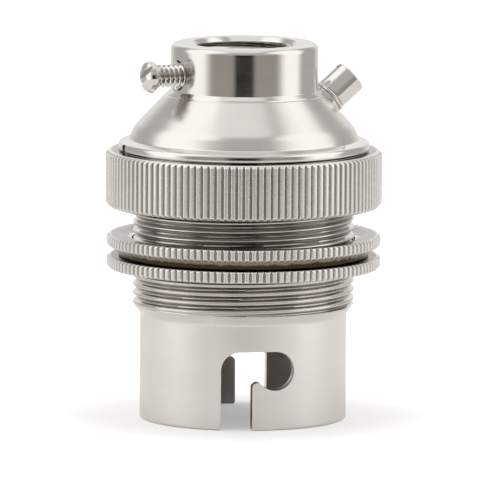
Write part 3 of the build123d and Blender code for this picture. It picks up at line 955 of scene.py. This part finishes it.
hub_foot, hub_height, hub_radius = 20.55, 1.2, 15.7
rim_foot = hub_foot + hub_height
upper_top = rim_foot + rim_height
upper_corners = [(shade_bore, hub_foot, 0.1), (hub_radius, hub_foot, 0.1), (hub_radius, rim_foot, 0.05)]
upper_corners += knurl_rows(rim_foot, upper_top, shade_chamfer, shade_radius)
upper_corners += [(15.6, upper_top, 0.12), (shade_bore, upper_top - 0.5, 0.08)]
make_knurled("knurled_upper_ring", upper_corners, shade_radius, "upper_shade_ring")

# %% [markdown]
# ## Cap
# The cap was spun over a former and then turned: a threaded skirt that the union ring takes, a bead,
# a dome and a boss with an internal thread for the rod. The round shapes are one outline again. The
# hole for the locking screw is cut with its countersink, and the pad under the earth terminal is a
# short turned boss that stands square to the dome.

# %% Directions of the two screws
lock_turn, lock_height = radians(64), 43.55
lock_way = Vector((-sin(lock_turn), -cos(lock_turn), 0))
earth_turn, earth_lean = radians(24), radians(39)
earth_seat_radius, earth_seat_height = 10.95, 39.45
earth_side = Vector((cos(earth_turn), sin(earth_turn), 0))
earth_way = earth_side * cos(earth_lean) + Vector((0, 0, sin(earth_lean)))
earth_seat = earth_side * earth_seat_radius + Vector((0, 0, earth_seat_height))


def laid(piece, way, start):
    """Turn a piece's own Z to a direction and move its origin to a place in mm, in its mesh."""
    turn = way.to_track_quat("Z", "Y").to_matrix().to_4x4()
    piece.data.transform(Matrix.Translation(start * mm) @ turn)
    return piece


# %% Spin and thread the cap
cap_thread_radius = 15.25
bead_radius, bead_foot, bead_top = 15.77, 33.95, 35.25
boss_radius, cap_top = 9.27, 47.3
rod_radius = 6.35
notch_turn, notch_size = radians(72.5), 0.6
screw_hole, screw_sink = 1.55, 1.92
cap_outline = [
    (cap_thread_radius, 30.05, 0.15),
    (cap_thread_radius, bead_foot, 0),
    (bead_radius, bead_foot, 0.12),
    (bead_radius, bead_top - 0.4, 0.45),
    (14.5, bead_top, 0.3),
    (13.7, 36.85, 3.0),
    (10.0, 40.75, 0.1),
    (9.85, 40.85, 0.1),
    (9.78, 41.0, 0.08),
    (boss_radius, 41.45, 0.12),
    (boss_radius, cap_top, 0.75),
    (rod_radius + 0.55, cap_top, 0.15),
    (rod_radius, cap_top - 0.55, 0),
    (rod_radius, 39.95, 0),
    (9.13, 39.95, 0.5),
    (12.83, 36.02, 1.5),
    (13.2, bead_foot, 0),
    (13.2, 31.25, 0),
    (14.05, 31.25, 0),
    (14.05, 30.05, 0),
]


def plug(name, points, way, start, segments=64):
    """Spun piece laid along a direction."""
    return laid(spun(name, points, segments), way, start)


def notch_cutter():
    """Small block that cuts the tool notch in the bead."""
    spans = [(-notch_size, notch_size), (-notch_size, notch_size), (bead_foot - 0.02, bead_foot + 0.9)]
    place = Matrix.Rotation(-notch_turn, 4, "Z") @ Matrix.Translation((0, -bead_radius * mm, 0))
    return box("notch_cutter", spans, place)


def make_cap():
    """Dome, bead, boss and both threads, with the screw hole and the earth pad."""
    outline = rounded(cap_outline)
    outline = divided(outline, cap_thread_radius, 30.3, 33.9, 0.1)
    outline = divided(outline, rod_radius, 40.0, 46.7, 0.11)
    cap = spun("domed_cap", outline, 288)
    hole = [(0, 5.0), (screw_hole, 5.0), (screw_hole, 8.72)]
    hole += [(screw_sink, 9.25), (screw_sink, 12.0), (0, 12.0)]
    pad_hole = [(0, -2.5), (screw_hole, -2.5), (screw_hole, 3.0), (0, 3.0)]
    cutters = [
        plug("lock_hole", hole, lock_way, Vector((0, 0, lock_height))),
        plug("earth_hole", pad_hole, earth_way, earth_seat),
        notch_cutter(),
    ]
    cut(cap, cutters)
    pad_outline = [(screw_hole, -0.9, 0), (2.2, -0.9, 0), (2.2, 0.6, 0.12), (screw_hole, 0.6, 0.1)]
    pad = plug("earth_pad", rounded(pad_outline), earth_way, earth_seat)
    with bpy.context.temp_override(active_object=cap, selected_editable_objects=[cap, pad]):
        bpy.ops.object.join()
    sizes = ("wall_radius", "depth", "low", "high", "pitch", "runout")
    outer_thread = (cap_thread_radius, 0.42, 30.2, 33.85, 1.1, 0.35)
    rod_thread = (rod_radius, -0.36, 40.2, 46.7, 1.27, 0.35)
    for values in (outer_thread, rod_thread):
        shaped(cap, thread_tree, cap_nickel, dict(zip(sizes, values)), sharpness=1.1)
    settled(cap, "cap_group", ["cap"])


make_cap()

# %% [markdown]
# ## Screws
# The locking screw, the earth screw, the clamp screws and the cover screws differ only in their
# outlines, so one function spins a head and shank, saws the slot and cuts the thread. A slot is
# sawn, so its edges are sharp; the thread is cut by the same tree as the neck's, at a finer pitch.

# %% One function for every screw
def slot_block(width, depth, reach, top, lean):
    """Block that saws a screwdriver slot across a head whose top is at a height."""
    spans = [(-reach, reach), (-width / 2, width / 2), (top - depth, top + 1)]
    return box("slot_block", spans, Matrix.Rotation(radians(lean), 4, "Z"))


def make_screw(name, corners, thread, slot, way, start, finish):
    """Screw from an outline, a thread (radius, low, high, pitch) and a slot (width, depth, lean)."""
    radius, low, high, pitch = thread
    width, depth, lean = slot
    outline = divided(rounded(corners, closed=False), radius, low, high, pitch / 9)
    screw = spun(name, outline, 96)
    top = corners[-1][1]
    reach = max(corner[0] for corner in corners) + 0.5
    cut(screw, [slot_block(width, depth, reach, top, lean)])
    lengths = {"wall_radius": radius, "depth": 0.62 * pitch, "pitch": pitch}
    lengths |= {"low": low, "high": high, "runout": 0.2}
    shaped(screw, thread_tree, finish, lengths, sharpness=0.9)
    return laid(screw, way, start)


lock_head_foot = boss_radius + 3.35
lock_top = lock_head_foot + 1.5
lock_corners = [
    (0, 6.6, 0),
    (1.17, 6.6, 0),
    (1.47, 6.9, 0),
    (1.47, lock_head_foot, 0),
    (1.82, lock_head_foot, 0.1),
    (2.07, lock_head_foot + 0.3, 0.2),
    (1.82, lock_top - 0.45, 0.5),
    (0.87, lock_top, 1.2),
    (0, lock_top, 0),
]
locking_screw = make_screw(
    "locking_screw",
    lock_corners,
    (1.47, 6.9, lock_head_foot - 0.05, 0.66),
    (0.7, 0.75, 40),
    lock_way,
    Vector((0, 0, lock_height)),
    screw_nickel,
)
settled(locking_screw, "rod_locking_screw", ["rod_locking_screw"])

earth_head_foot = 1.15
earth_corners = [
    (0, -2.1, 0),
    (1.17, -2.1, 0),
    (1.47, -1.8, 0),
    (1.47, earth_head_foot, 0),
    (2.15, earth_head_foot, 0.1),
    (2.15, earth_head_foot + 3.65, 0.25),
    (0, earth_head_foot + 3.65, 0),
]
earth_screw = make_screw(
    "earth_screw",
    earth_corners,
    (1.47, -1.8, earth_head_foot - 0.05, 0.5),
    (0.7, 0.75, 90),
    earth_way,
    earth_seat,
    screw_nickel,
)
settled(earth_screw, "earth_terminal_screw", ["earth_terminal_screw"])

washer_outline = [(screw_hole, 0.65, 0.08), (2.3, 0.65, 0.2), (2.3, 1.1, 0.2), (screw_hole, 1.1, 0.08)]
washer = plug("earth_washer_round", rounded(washer_outline), earth_way, earth_seat, 96)
washer.data.materials.append(screw_nickel)
settled(washer, "cap_group", ["earth_washer"])

# %% [markdown]
# ## Contacts
# Two sprung plungers meet the lamp's contacts. Each has a rounded brass nose, a coil spring behind it
# and a terminal post with a clamp screw. The spring is a curve primitive swept with a round wire in
# Geometry Nodes.

# %% Plungers and clamp screws
plunger_across = 5.5
up = Vector((0, 0, 1))
plunger_outline = [
    (0, 11.6, 0),
    (2.0, 11.6, 1.1),
    (2.0, 17.1, 0),
    (2.5, 17.1, 0.1),
    (2.5, 18.25, 0.1),
    (1.25, 18.25, 0),
    (1.25, 19.85, 0.3),
    (0, 19.85, 0),
]
clamp_foot = 31.55
clamp_corners = [
    (0, clamp_foot - 1.9, 0),
    (1.27, clamp_foot - 1.9, 0.3),
    (1.27, clamp_foot, 0),
    (2.1, clamp_foot, 0.05),
    (2.1, clamp_foot + 1.4, 0.2),
    (0, clamp_foot + 1.4, 0),
]
for side, name in ((-1, "left"), (1, "right")):
    offset = Vector((side * plunger_across, 0, 0))
    nose = plug("plunger_nose_" + name, rounded(plunger_outline, closed=False), up, offset, 96)
    nose.data.materials.append(turned_brass)
    settled(nose, "contact_plunger_" + name, ["contact_plunger_" + name])
    clamp = make_screw(
        "clamp_screw_" + name,
        clamp_corners,
        (1.27, clamp_foot - 1.6, clamp_foot - 0.05, 0.45),
        (0.6, 0.7, 20 * side),
        up,
        offset,
        turned_brass,
    )
    settled(clamp, "terminal_screw_" + name, ["terminal_screw_" + name])


# %% Springs from a spiral curve
def make_spring_tree():
    """Spiral curve swept with a round wire."""
    sizes = {
        "Radius": 0.002,
        "Height": 0.005,
        "Turns": 5.0,
        "Wire radius": 0.0002,
        "Foot": 0.0,
        "Offset": 0.0,
    }
    tree, source, sink = shape_tree("coil_spring", sizes)
    given = source.outputs
    spiral = tree.nodes.new("GeometryNodeCurveSpiral")
    spiral.inputs["Resolution"].default_value = 40
    uses = {"Rotations": "Turns", "Start Radius": "Radius", "End Radius": "Radius", "Height": "Height"}
    for label, size in uses.items():
        tree.links.new(given[size], spiral.inputs[label])
    wire = tree.nodes.new("GeometryNodeCurvePrimitiveCircle")
    wire.inputs["Resolution"].default_value = 14
    tree.links.new(given["Wire radius"], wire.inputs["Radius"])
    swept = add(tree, "GeometryNodeCurveToMesh", i0=spiral.outputs[0])
    tree.links.new(wire.outputs[0], swept.inputs["Profile Curve"])
    swept.inputs["Fill Caps"].default_value = True
    moved = add(tree, "GeometryNodeTransform", i0=swept.outputs[0])
    tree.links.new(point(tree, given["Offset"], 0.0, given["Foot"]), moved.inputs["Translation"])
    painted(tree, source, sink, moved.outputs[0])
    return tree


spring_tree = make_spring_tree()
spring_foot, spring_roof, wire_radius, end_gap = 18.25, 23.2, 0.2, 0.05
spring_room = spring_roof - spring_foot
for side, name in ((-1, "left"), (1, "right")):
    coil = new_piece("coil_" + name, [], [])
    lengths = {
        "radius": 1.9,
        "height": spring_room - 2 * (wire_radius + end_gap),
        "wire_radius": wire_radius,
        "foot": spring_foot + wire_radius + end_gap,
        "offset": side * plunger_across,
    }
    shaped(coil, spring_tree, spring_steel, lengths, turns=5)
    settled(coil, "barrel_group", ["plunger_spring_" + name])
    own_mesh(coil)

# %% Cover screws as one piece
cover_outline = [
    (0, 20.5, 0),
    (1.2, 20.5, 0.2),
    (1.2, 27.0, 0),
    (1.9, 27.0, 0.05),
    (1.9, 28.1, 0.2),
    (0, 28.1, 0),
]
cover_pair = [
    make_screw(
        "cover_screw_" + name,
        cover_outline,
        (1.2, 20.7, 26.9, 0.45),
        (0.6, 0.7, lean),
        up,
        Vector((0, across, 0)),
        turned_brass,
    )
    for name, across, lean in (("front", -8.4, 25), ("back", 8.4, 95))
]
with bpy.context.temp_override(active_object=cover_pair[0], selected_editable_objects=cover_pair):
    bpy.ops.object.join()
cover_screws = cover_pair[0]
settled(cover_screws, "barrel_group", ["cover_screws"])

# %% [markdown]
# ## Pieces that keep their solids
# The black mouldings and the terminals are already the right shape, and only their faces and holes
# show through the mouth or the boss. They keep their CAD meshes and only get their finishes.

# %% Paint the carried-over solids
carried = {
    "moulding_base": black_resin,
    "moulding_cover": black_resin,
    "terminal_left": turned_brass,
    "terminal_right": turned_brass,
}
for name, finish in carried.items():
    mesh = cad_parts[name].data
    mesh.materials.clear()
    mesh.materials.append(finish)
print("painted", list(carried))

# %% [markdown]
# ## Studio
# The holder stands on a white table under one soft lamp. Bare metal shows little but its surroundings,
# so the rest of the light is a room that is worked out from the direction a ray looks in: grey walls,
# a window behind the holder, soft boxes above and at both sides, and a dark gap in front, where the
# camera stands. The gap gives the dark bands in the middle of the boss and the bead. The camera itself
# sees plain white. For reflections the table ends a quarter of a metre away, because a wider one would
# be nearly all that the metal mirrors from below. Seen from underneath the table is transparent, so
# that a camera can look into the mouth.

# %% White table
table_edge = 0.25
floor_reach = 4
shadow_near, shadow_far = 0.015, 0.047
near_glow = 0.38


def shader_between(tree, share, first, second):
    """Node that mixes the shaders of two nodes."""
    return add(tree, "ShaderNodeMixShader", i0=share, i1=first.outputs[0], i2=second.outputs[0])


def make_floor():
    """White table: it keeps the holder's shadow near it, with a weaker glow near the holder that paints
    more shadow round the base, and is plain white farther away.
    """
    corners = [(-1, -1, 0), (1, -1, 0), (1, 1, 0), (-1, 1, 0)]
    corners = [Vector(corner) * floor_reach for corner in corners]
    floor = new_piece("studio_floor", corners, [(0, 1, 2, 3)])
    material, tree = new_material("white_table")
    tree.nodes.clear()
    output = tree.nodes.new("ShaderNodeOutputMaterial")
    place = object_place(tree)
    distance = around_z(tree, place)[0]
    far = eased(tree, distance, shadow_near, shadow_far)
    path = tree.nodes.new("ShaderNodeLightPath")
    paper = add(tree, "ShaderNodeBsdfDiffuse", i0=(0.90, 0.89, 0.875, 1))
    beyond = tree.nodes.new("ShaderNodeBsdfTransparent")
    past_edge = eased(tree, distance, table_edge - 0.01, table_edge)
    table = shader_between(tree, past_edge, paper, beyond)
    lit = add(tree, "ShaderNodeBsdfDiffuse", i0=(0.70, 0.70, 0.70, 1))
    # Painted shadow: the glow that whitens the table for the camera is weaker near the holder.
    strength = reckon(tree, "MULTIPLY_ADD", far, 1.0 - near_glow, near_glow)
    glow = add(tree, "ShaderNodeEmission", i0=(1, 1, 1, 1), i1=strength)
    shown = add(tree, "ShaderNodeAddShader", i0=lit.outputs[0], i1=glow.outputs[0])
    chosen = shader_between(tree, path.outputs["Is Camera Ray"], table, shown)
    below = tree.nodes.new("ShaderNodeNewGeometry").outputs["Backfacing"]
    open_below = shader_between(tree, below, chosen, beyond)
    tree.links.new(open_below.outputs[0], output.inputs[0])
    floor.data.materials.append(material)


make_floor()
print("table ends", table_edge, "m away for reflections")


# %% The room as the metal sees it
def make_world():
    """White for the camera; for everything else a room with soft boxes and a dark gap in front.

    Each box is a patch of directions, given by the x, y and z of a unit vector.
    """
    world = bpy.data.worlds.new("white_room")
    bpy.context.scene.world = world
    world.use_nodes = True
    tree = world.node_tree
    tree.nodes.clear()
    output = tree.nodes.new("ShaderNodeOutputWorld")
    way = tree.nodes.new("ShaderNodeTexCoord").outputs["Generated"]
    x, y, z = add(tree, "ShaderNodeSeparateXYZ", i0=way).outputs
    across = reckon(tree, "ABSOLUTE", x)
    room = mixed(tree, eased(tree, z, 0.05, 0.45), (0.33, 0.30, 0.275), (0.50, 0.49, 0.475))
    wall = mixed(tree, eased(tree, y, 0.70, 1.0), (0.47, 0.46, 0.445), (0.85, 0.84, 0.82))
    room = mixed(tree, eased(tree, y, -0.10, 0.20), room, wall)
    window = patch(tree, (across, 0.50, 0.25), (y, 0.30, 0.60), (z, 0.10, 0.30))
    room = mixed(tree, window, room, (0.97, 0.96, 0.94))
    above = patch(tree, (across, 0.34, 0.24), (z, 0.86, 0.94))
    room = mixed(tree, above, room, (0.90, 0.89, 0.87))
    aside = reckon(tree, "ABSOLUTE", minus(tree, x, 0.06))
    behind = minus(tree, y, times(tree, z, 0.4))
    sides = patch(tree, (aside, 0.30, 0.44), (y, -0.66, -0.34), (behind, 0.28, 0.02))
    room = mixed(tree, sides, room, (1.22, 1.20, 1.17))
    gap = patch(tree, (z, -0.6, -0.4), (z, 0.42, 0.22), (across, 0.34, 0.18), (y, -0.5, -0.7))
    room = mixed(tree, gap, room, (0.015, 0.013, 0.012))
    path = tree.nodes.new("ShaderNodeLightPath")
    shown = mixed(tree, path.outputs["Is Camera Ray"], room, (1.0, 1.0, 1.0))
    backdrop = add(tree, "ShaderNodeBackground", i0=shown, i1=1.0)
    tree.links.new(backdrop.outputs[0], output.inputs[0])


make_world()
print("world", bpy.context.scene.world.name)


# %% One soft lamp for the shadow
middle_height = 0.025


def add_lamp(name, size, place, radiance):
    """Square soft box of an even brightness that looks at the middle of the holder."""
    data = bpy.data.lights.new(name, "AREA")
    data.shape = "RECTANGLE"
    data.size, data.size_y = size, size
    data.energy = pi * size * size * radiance
    lamp = bpy.data.objects.new(name, data)
    bpy.context.scene.collection.objects.link(lamp)
    lamp.location = place
    away = Vector(place) - Vector((0, 0, middle_height))
    lamp.rotation_euler = away.to_track_quat("Z", "Y").to_euler()
    lamp.visible_glossy = False
    return lamp


top_box = add_lamp("top_box", 0.5, (0, -0.05, 0.7), 0.6)
bpy.context.scene.view_settings.view_transform = "Standard"
print("lamp", top_box.name, round(top_box.data.energy, 3), "W")
